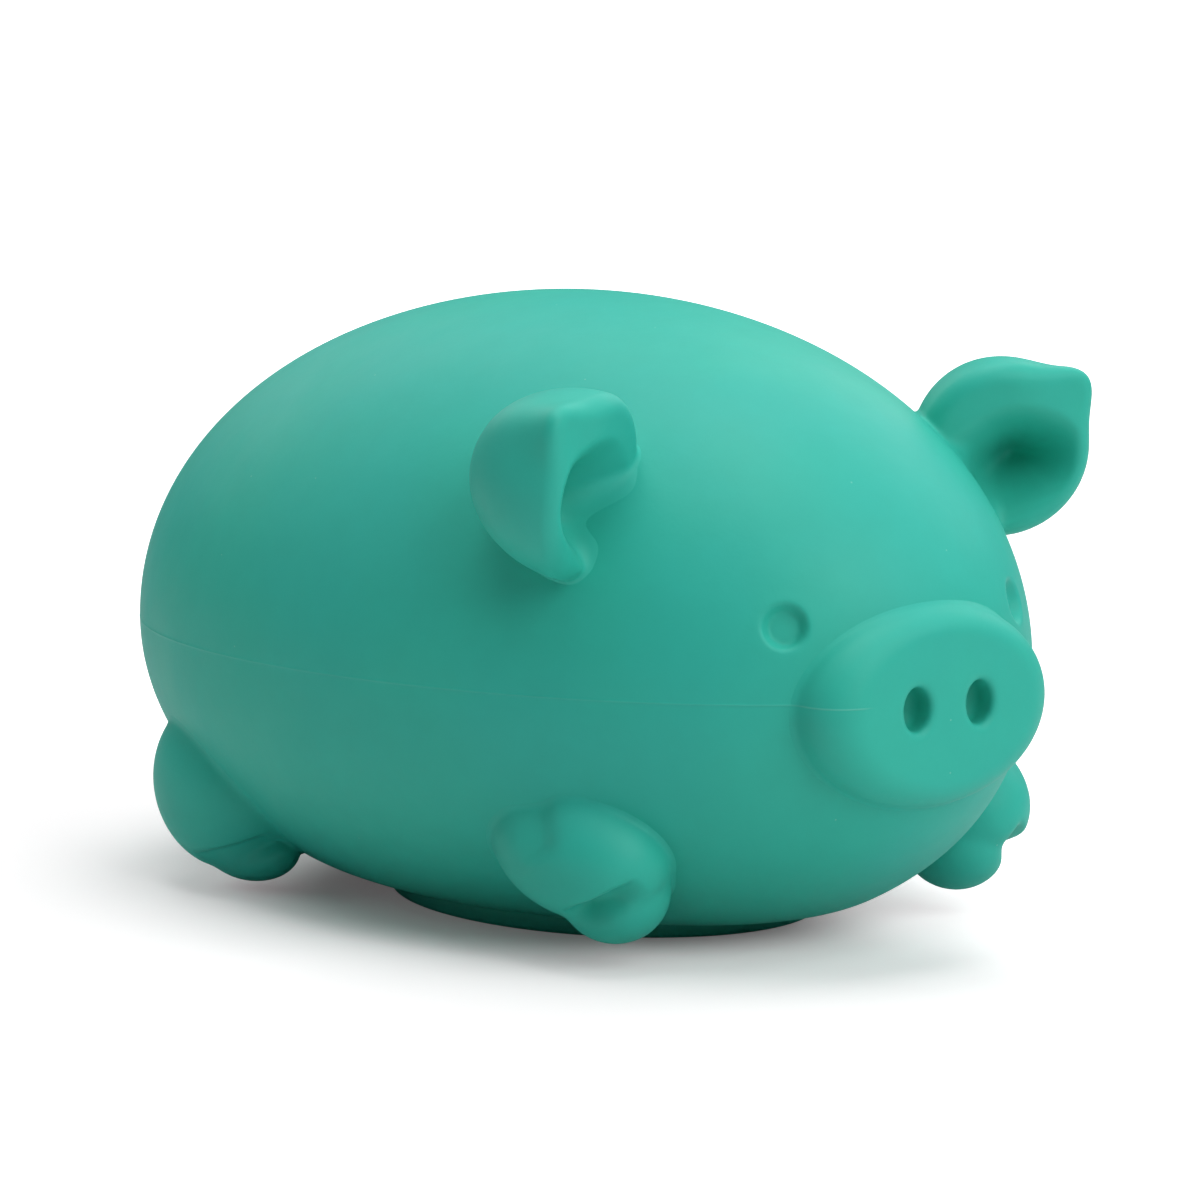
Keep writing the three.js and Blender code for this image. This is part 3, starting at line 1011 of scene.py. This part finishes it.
@dataclass
class Ear(Sculpted):
    """A bowl that opens forwards, with one corner of its rim drawn out, hollowed and closed by the head."""

    body: str = "ear_left"
    at: Triple = (22.34, -31.10, 40.25)
    inwards: float = 28.0
    downwards: float = 12.5
    radii: tuple[float, float] = (7.8, 7.9)
    bowl: float = 11.2
    rim: float = 1.6
    tip_angle: float = 40.5
    tip_spread: float = 18.0
    tip_share: float = 0.37
    tip_fade: float = 2.8
    tip_back: float = 1.5
    tip_bend: float = 30.0
    pit_shift: tuple[float, float] = (1.0, -0.2)
    pit_slant: tuple[float, float] = (0.15, -0.25)
    pit_radii: tuple[float, float] = (6.4, 5.0)
    pit_depth: float = 8.6
    pit_curve: float = 1.65
    pit_stretch: float = 2.0
    headwards: tuple[float, float] = (-0.72, -0.69)
    inner_fillet: float = 2.2
    still_root: Triple = (19.9, -29.6, 38.3)
    bent_root: Triple = (23.3, -31.9, 41.1)

    def frame(self) -> np.ndarray:
        """The ear's own directions.

        Returns:
            As rows: outwards in the rim, up in it, and backwards.
        """
        inwards, downwards = np.radians([self.inwards, self.downwards])
        level = np.cos(downwards)
        facing = np.array([-np.sin(inwards) * level, -np.cos(inwards) * level, -np.sin(downwards)])
        across = unit(np.cross([0.0, 0.0, 1.0], facing))
        return np.stack([across, np.cross(facing, across), -facing])

    def _local(self, points: Points) -> Points:
        """The points in the ear's own directions, from the middle of its rim, with its tip bent upright.

        Args:
            points: The points in the CAD frame.

        Returns:
            How far each lies outwards, up and backwards.
        """
        local = (points - np.array(self.at)) @ self.frame().T
        reach = np.hypot(local[..., 0], local[..., 1]) / self.radii[0]
        bent = self.tip_back * self._tip_share(local, self.tip_bend) * ease(reach, 0.4, 1.3)
        return local - bent[..., None] * np.array([0.0, 0.0, 1.0])

    def _tip_share(self, local: Points, spread: float) -> np.ndarray:
        """A bell curve round the direction of the tip.

        Args:
            local: Points in the ear's own directions.
            spread: How wide the curve is, in degrees.

        Returns:
            How near each point's direction comes to the tip's, from 0 to 1.
        """
        turn = np.arctan2(local[..., 1] / self.radii[1], local[..., 0] / self.radii[0])
        turn = turn - np.radians(self.tip_angle)
        away = np.arctan2(np.sin(turn), np.cos(turn)) / np.radians(spread)
        return np.exp(-(away**2))

    def _bowl_level(self, local: Points) -> np.ndarray:
        """The bowl's level: scaled to a unit sphere behind its rim, and drawn out towards the tip.

        Args:
            local: Points in the ear's own directions.

        Returns:
            A value below 1 inside the bowl.
        """
        u, v, depth = local[..., 0] / self.radii[0], local[..., 1] / self.radii[1], local[..., 2]
        fade = np.exp(-np.maximum(depth, 0.0) / self.tip_fade)
        drawn = 1.0 + self.tip_share * self._tip_share(local, self.tip_spread) * fade
        return np.hypot(np.hypot(u, v) / drawn, np.maximum(depth - self.rim, 0.0) / (self.bowl - self.rim))

    def _pit_share(self, local: Points) -> np.ndarray:
        """How far out in the hollow each point lies; the hollow is longer towards the head.

        Args:
            local: Points in the ear's own directions.

        Returns:
            A value near 0 in its middle and 1 at its edge.
        """
        place = local[..., :2] - self.pit_shift - local[..., 2:] * self.pit_slant
        headwards = unit(np.array(self.headwards))
        along = np.maximum(place @ headwards, 0.0)[..., None]
        place = place - headwards * along * (1.0 - 1.0 / self.pit_stretch)
        return np.hypot(np.linalg.norm(place / np.array(self.pit_radii), axis=-1), 0.15)

    def _pit_level(self, local: Points) -> np.ndarray:
        """A value below 0 behind the surface of the hollow, a funnel that flares into the rim."""
        flare = np.maximum(1.0 - self._pit_share(local), 0.0) ** self.pit_curve
        return self.pit_depth * flare - local[..., 2]

    def _bowl_depth(self, local: Points) -> np.ndarray:
        """How far each point lies outside the filled bowl, to first order."""
        slope = np.linalg.norm(gradient(self._bowl_level, local), axis=-1)
        return (self._bowl_level(local) - 1.0) / np.maximum(slope, 0.03)

    def lump(self, points: Points) -> np.ndarray:
        """The bowl less its hollow, with the rim between them rounded.

        Args:
            points: The points.

        Returns:
            How far each point lies outside the ear.
        """
        local = self._local(points)
        steep = np.linalg.norm(gradient(self._pit_level, local), axis=-1)
        return rounded_join(self._bowl_depth(local), self._pit_level(local) / steep, self.rim)

    def fillet_at(self, points: Points) -> np.ndarray:
        """The reach of the fillet, which is larger in the hollow.

        Args:
            points: The points.

        Returns:
            The reach near each point.
        """
        local = self._local(points)
        in_pit = 1.0 - ease(self._pit_share(local), 0.5, 1.1)
        in_bowl = 1.0 - ease(self._bowl_depth(local), -1.5, 0.0)
        return self.fillet + (self.inner_fillet - self.fillet) * (in_pit * in_bowl)

    def attach(self, piece: bpy.types.Object) -> None:
        """Bakes the ear's place into its mesh.

        Args:
            piece: The finished ear.
        """
        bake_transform(piece)


@dataclass
class Tail(Squeezed, Sculpted):
    """One small curl in relief against the rear."""

    height: float = 29.0
    curl_radius: float = 2.7
    curl_in: float = 0.35
    thickness: float = 2.6
    tip_thickness: float = 1.4
    turns: float = 0.95
    stand: float = 0.7
    balls: int = 70

    def lump(self, points: Points) -> np.ndarray:
        """A chain of balls that get smaller along a spiral in the plane of the rear.

        Args:
            points: The points.

        Returns:
            How far each point lies outside the nearest ball.
        """
        at = BODY.rear(0.0, self.height)
        normal = BODY.normal(at[None])[0]
        right = np.array([-1.0, 0.0, 0.0])
        up = np.cross(normal, right)
        share = np.linspace(0.0, 1.0, self.balls)[:, None]
        turn = 2 * np.pi * self.turns * share - np.pi / 2
        radius = self.curl_radius * (1.0 - self.curl_in * share)
        line = at + right * radius * np.cos(turn) + up * radius * np.sin(turn) + normal * self.stand
        thick = (self.thickness + (self.tip_thickness - self.thickness) * share[:, 0]) / 2
        nearest = np.full(points.shape[:-1], np.inf)
        for centre, half in zip(line, thick):
            nearest = np.minimum(nearest, np.linalg.norm(points - centre, axis=-1) - half)
        return nearest


class Grounded(Piece):
    """A piece that stays with the belly."""

    def attach(self, piece: bpy.types.Object) -> None:
        """Fixes the piece to the belly."""
        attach(piece, "belly")


def turned(radius: np.ndarray, height: np.ndarray, stretch: np.ndarray, columns: int) -> Points:
    """An outline turned round the pad's upright middle line, each ring of it drawn out lengthwise.

    Args:
        radius: The outline's distances from the line.
        height: Its heights.
        stretch: How many times as long as wide the ring of each of its points is.
        columns: How many points a ring has.

    Returns:
        One row of points for each point of the outline.
    """
    turn = np.linspace(0.0, 2 * np.pi, columns, endpoint=False)
    x = radius[:, None] * np.cos(turn)
    y = (radius * stretch)[:, None] * np.sin(turn) - PAD_FORWARD
    return np.stack([x, y, np.broadcast_to(height[:, None], x.shape)], axis=-1)


@dataclass
class BellyPad(Grounded, GridPiece):
    """The flat oval pad under the belly, with the seat of the stopper in its middle."""

    half_width: float = 17.2
    half_length: float = 22.0
    edge: float = 0.35
    top: float = 1.75
    lining: float = 1.5
    seat: float = 6.0
    seat_bevel: float = 0.12
    flat_from: float = 7.0
    flat_to: float = 15.5
    columns: int = 160

    def grid(self) -> Points:
        """The outline of the pad's wall, from the seat over the underside to the rounded edge and back.

        Returns:
            One row of points for each point of the outline.
        """
        corner = np.linspace(0.0, np.pi / 2, 7)
        edge_out = self.half_width - self.edge + self.edge * np.sin(corner)
        edge_up = self.edge - self.edge * np.cos(corner)
        radius = np.concatenate([
            [self.seat, self.seat, self.seat + self.seat_bevel],
            np.linspace(self.flat_from, self.flat_to, 8), edge_out,
            [self.half_width, self.half_width - 0.4], np.linspace(self.flat_to - 0.5, self.flat_from, 8),
        ])
        height = np.concatenate([
            [self.lining, self.seat_bevel, 0.0], np.zeros(8), edge_up,
            [self.top - 0.3, self.top], np.full(8, self.lining),
        ])
        oval = self.half_length / self.half_width - 1.0
        stretch = 1.0 + oval * ease(radius, self.seat + 0.5, self.flat_to)
        return turned(radius, height, stretch, self.columns)


@dataclass
class FillPlug(Grounded, GridPiece):
    """The stopper: a slightly domed head with a rounded rim and a moulding mark in its middle."""

    head: float = 5.7
    rim: float = 0.3
    rim_height: float = 0.6
    stem: float = 3.7
    stem_top: float = 3.3
    columns: int = 64

    def grid(self) -> Points:
        """The outline of the stopper, from the moulding mark over the head's rim to the end of the stem.

        Returns:
            One row of points for each point of the outline.
        """
        corner = np.linspace(0.0, np.pi / 2, 6)
        radius = np.concatenate([
            [0.0, 0.5, 0.62, 0.75], np.linspace(1.2, self.head - 0.5, 8),
            self.head - self.rim + self.rim * np.sin(corner), [self.head, self.stem, self.stem, 0.0],
        ])
        height = np.concatenate([
            [0.38, 0.38, 0.45, 0.33], np.full(8, 0.31),
            self.rim_height - self.rim * np.cos(corner), [1.55, 1.6, self.stem_top, self.stem_top],
        ])
        return turned(radius, height, np.ones_like(radius), self.columns)


@dataclass
class FoamCore(Squeezed, GridPiece):
    """The foam inside the skin, a little uneven where it has risen against the wall."""

    rows: int = 90
    columns: int = 120
    unevenness: float = 0.15

    def grid(self) -> Points:
        """Rings inside the skin's wall, drawn in by a product of sine waves.

        Returns:
            One row of points for each ring, from the rear to the front.
        """
        angle = np.linspace(0.0, np.pi, self.rows)[:, None]
        turn = np.linspace(0.0, 2 * np.pi, self.columns, endpoint=False)[None, :]
        points = BODY.surface(angle, turn, WALL + GAP)
        x, y, z = np.moveaxis(points, -1, 0)
        waves = np.sin(y / 2.3 + 1.0) * np.sin(x / 2.9) * np.sin(z / 2.1)
        inwards = unit([0.0, 0.0, BODY.seam] - points)
        return points + inwards * (self.unevenness + self.unevenness * waves)[..., None]

    def attach(self, piece: bpy.types.Object) -> None:
        super().attach(piece)


# Studio


@dataclass(frozen=True)
class Softbox:
    """A square lamp that looks at the middle of the toy, with its place and size in metres."""

    name: str
    place: Triple
    power: float
    size: float = 0.60
    aim_height: float = 0.025

    def build(self) -> None:
        """Adds the lamp."""
        data = bpy.data.lights.new(self.name, "AREA")
        data.shape = "SQUARE"
        data.size = self.size
        data.energy = self.power
        lamp = bpy.data.objects.new(self.name, data)
        lamp.location = self.place
        aim = Vector((0.0, 0.0, self.aim_height)) - Vector(self.place)
        lamp.rotation_euler = aim.to_track_quat("-Z", "Y").to_euler()
        bpy.context.scene.collection.objects.link(lamp)


@dataclass(frozen=True)
class Studio:
    """The plain studio: camera at the photograph's angle, pale floor, soft lamps.

    The camera's place is in millimetres, as the toy is, and the floor is in metres, as the lamps are.
    """

    camera_place: Triple = (-273.27, -352.23, 87.39)
    azimuth: float = -38.0
    elevation: float = 7.831
    lens: float = 151.4
    world_strength: float = 0.02
    floor_tone: float = 0.74
    floor_half: float = 4.0
    glow_tint: tuple[float, float, float, float] = (1.0, 0.90, 0.93, 1.0)
    # painted light for the camera over the whole floor, also inside the toy's shadow
    shadow_glow: float = 0.09
    lamps: tuple[Softbox, ...] = (
        Softbox("top", (0.0, 0.0, 0.87), 4.1),
        Softbox("top_back", (0.30, 0.38, 0.72), 0.8),
        Softbox("back_right", (0.67, 0.20, 0.51), 1.8),
        Softbox("back_left", (0.04, 0.70, 0.51), 1.4),
        Softbox("right", (0.55, -0.43, 0.51), 1.1),
        Softbox("left", (-0.55, 0.43, 0.51), 0.8),
        Softbox("front_right", (0.08, -0.69, 0.51), 3.6),
        Softbox("front_top", (-0.26, -0.33, 0.76), 0.5),
    )

    def build(self) -> None:
        """Adds everything and sets the view."""
        self._camera()
        self._floor()
        self._world()
        for lamp in self.lamps:
            lamp.build()
        bpy.context.scene.view_settings.view_transform = "Standard"

    def _camera(self) -> None:
        """Adds the camera, turned by the azimuth and the elevation of the photograph."""
        azimuth, elevation = np.radians(self.azimuth), np.radians(self.elevation)
        level = np.cos(elevation)
        back = Vector((np.sin(azimuth) * level, -np.cos(azimuth) * level, np.sin(elevation)))
        right = (-back).cross(Vector((0, 0, 1))).normalized()
        up = right.cross(-back)
        turn = Matrix((right, up, back)).transposed().to_4x4()
        data = bpy.data.cameras.new("camera")
        data.lens = self.lens
        data.sensor_width = 36.0
        data.clip_start, data.clip_end = 0.01, 10.0
        camera = bpy.data.objects.new("camera", data)
        camera.matrix_world = Matrix.Translation(Vector(self.camera_place) * MM) @ turn
        bpy.context.scene.collection.objects.link(camera)
        bpy.context.scene.camera = camera

    def _floor(self) -> None:
        """Adds a wide pale floor that the camera sees as white where no shadow falls."""
        half = self.floor_half
        corners = [(-half, -half, 0), (half, -half, 0), (half, half, 0), (-half, half, 0)]
        mesh = bpy.data.meshes.new("floor")
        mesh.from_pydata(corners, [], [(0, 1, 2, 3)])
        mesh.materials.append(self._floor_material())
        floor = bpy.data.objects.new("floor", mesh)
        bpy.context.scene.collection.objects.link(floor)

    def _floor_material(self) -> bpy.types.Material:
        """The floor's material, which glows for the camera alone.

        The glow is weakest under the toy. It grows in three smooth steps: past the pad and towards the side
        that the shadow doesn't fall on, both painted light that lightens the toy's shadow, and far from the
        toy, where it makes the floor white.

        Returns:
            The new material.
        """
        material = bpy.data.materials.new("studio_floor")
        graph = Graph(material)
        place = graph.node("TexCoord", {}).outputs["Object"]
        length = graph.node("VectorMath", {0: place}, operation="LENGTH")
        split = graph.node("SeparateXYZ", {0: place})
        away, across = Socket(graph, length.outputs["Value"]), Socket(graph, split.outputs["X"])
        # painted light: past the pad and on the +x side the glow lightens the toy's shadow
        past_pad, painted_light_side, far = away.fade(0.022, 0.034), across.fade(0.0, 0.018), away.fade(0.25, 1.2)
        glow = past_pad * 0.22 + painted_light_side * 0.35 + far + self.shadow_glow
        graph.fill(graph.tree.nodes["Principled BSDF"], {
            "Base Color": (self.floor_tone, self.floor_tone, self.floor_tone, 1.0),
            "Roughness": 0.9,
            "Specular IOR Level": 0.0,
            "Emission Color": self.glow_tint,
            "Emission Strength": graph.camera_ray() * glow,
        })
        return material

    def _world(self) -> None:
        """Adds a plain pale surrounding light, seen by the camera as white."""
        world = bpy.data.worlds.new("studio")
        graph = Graph(world)
        strength = graph.camera_ray() * (1.0 - self.world_strength) + self.world_strength
        white = (1.0, 1.0, 1.0, 1.0)
        graph.fill(graph.tree.nodes["Background"], {"Color": white, "Strength": strength})
        bpy.context.scene.world = world


# The toy


@dataclass
class Toy:
    """The whole toy, as the list of its pieces."""

    front_foot: tuple[Lobe, ...] = (
        Lobe((20.30, -25.87, 10.07), (6.4, 8.9, 6.0), (0.21, -0.06, -0.07)),
        Lobe((18.96, -28.66, 6.54), (4.5, 5.0, 4.5)),
    )
    front_grooves: tuple[Groove, ...] = (
        Groove(
            (24.23, -28.79, 4.90), (21.55, -34.23, 8.16), crisp_side=(0.53, 0.16, 0.83),
            depth=1.9, crisp=0.4, soft=1.7, closing=0.6,
        ),
        Groove(
            (24.20, -24.80, 15.6), (25.90, -28.20, 10.0), crisp_side=(-0.3, -1.0, 0.3),
            depth=0.7, crisp=1.5, soft=2.6,
        ),
    )
    rear_foot: tuple[Lobe, ...] = (
        Lobe((25.0, 19.6, 9.8), (5.9, 8.4, 8.0)),
        Lobe((23.4, 18.5, 3.9), (3.6, 5.9, 3.2)),
    )
    rear_grooves: tuple[Groove, ...] = (
        Groove(
            (28.6, 19.8, 3.3), (26.3, 12.4, 5.6), crisp_side=(0.3, 0.0, 1.0),
            depth=0.9, crisp=0.35, soft=1.6,
        ),
    )

    def pieces(self) -> list[Piece]:
        """Every piece, in the order in which it is built.

        Returns:
            The pieces, not built yet.
        """
        made: list[Piece] = [
            SkinHalf("skin_upper", ("upper_skin",), above=True, dents=EYES + NOSTRIL_BEDS),
            SkinHalf("skin_lower", ("lower_skin",), above=False, outer_columns=170, dents=NOSTRIL_BEDS),
            BellyPad("belly_pad", (), closed_rows=True),
            FillPlug("stopper", ("fill_plug",), Finish.PLUG, sharp_angle=60.0),
            FoamCore("foam_core", ("soft_core",), Finish.FOAM),
            Snout(
                "snout_drum", ("snout",),
                low=(-14.5, -50.0, 12.0), high=(14.5, -38.0, 33.0), fillet=0.5, rooted=1.9,
            ),
            Tail(
                "curled_tail", ("tail",),
                low=(-5.0, 44.0, 23.5), high=(5.0, 51.5, 34.5), step=0.2, fillet=0.5,
            ),
        ]
        for side, word in ((1, "left"), (-1, "right")):
            made += self._side_pieces(side, word)
        return made

    def _side_pieces(self, side: int, word: str) -> list[Piece]:
        """The ear and the feet of one side.

        Args:
            side: 1 for the left side and -1 for the right.
            word: The side's name.

        Returns:
            The three pieces, not built yet.
        """
        return [
            Ear(
                f"ear_{word}", (f"{word}_ear",), side=side, body=f"ear_{word}",
                low=(10.0, -38.0, 29.0), high=(33.0, -17.0, 51.0), rooted=1.5,
            ),
            Foot(
                f"{word}_front_foot_lobes", (f"{word}_front_foot",), side=side,
                lobes=self.front_foot, grooves=self.front_grooves,
                low=(12.0, -37.0, 1.0), high=(28.5, -15.0, 18.5), step=0.2,
            ),
            Foot(
                f"{word}_rear_foot_lobes", (f"{word}_rear_foot",), side=side,
                lobes=self.rear_foot, grooves=self.rear_grooves,
                low=(16.0, 8.0, -0.3), high=(33.0, 31.0, 20.0),
            ),
        ]


def main() -> None:
    """Builds the toy and its studio."""
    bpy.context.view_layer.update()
    for piece in Toy().pieces():
        piece.build()
    Studio().build()


if __name__ == "__main__":
    logging.basicConfig(level=logging.INFO, format="%(name)s: %(message)s")
    main()
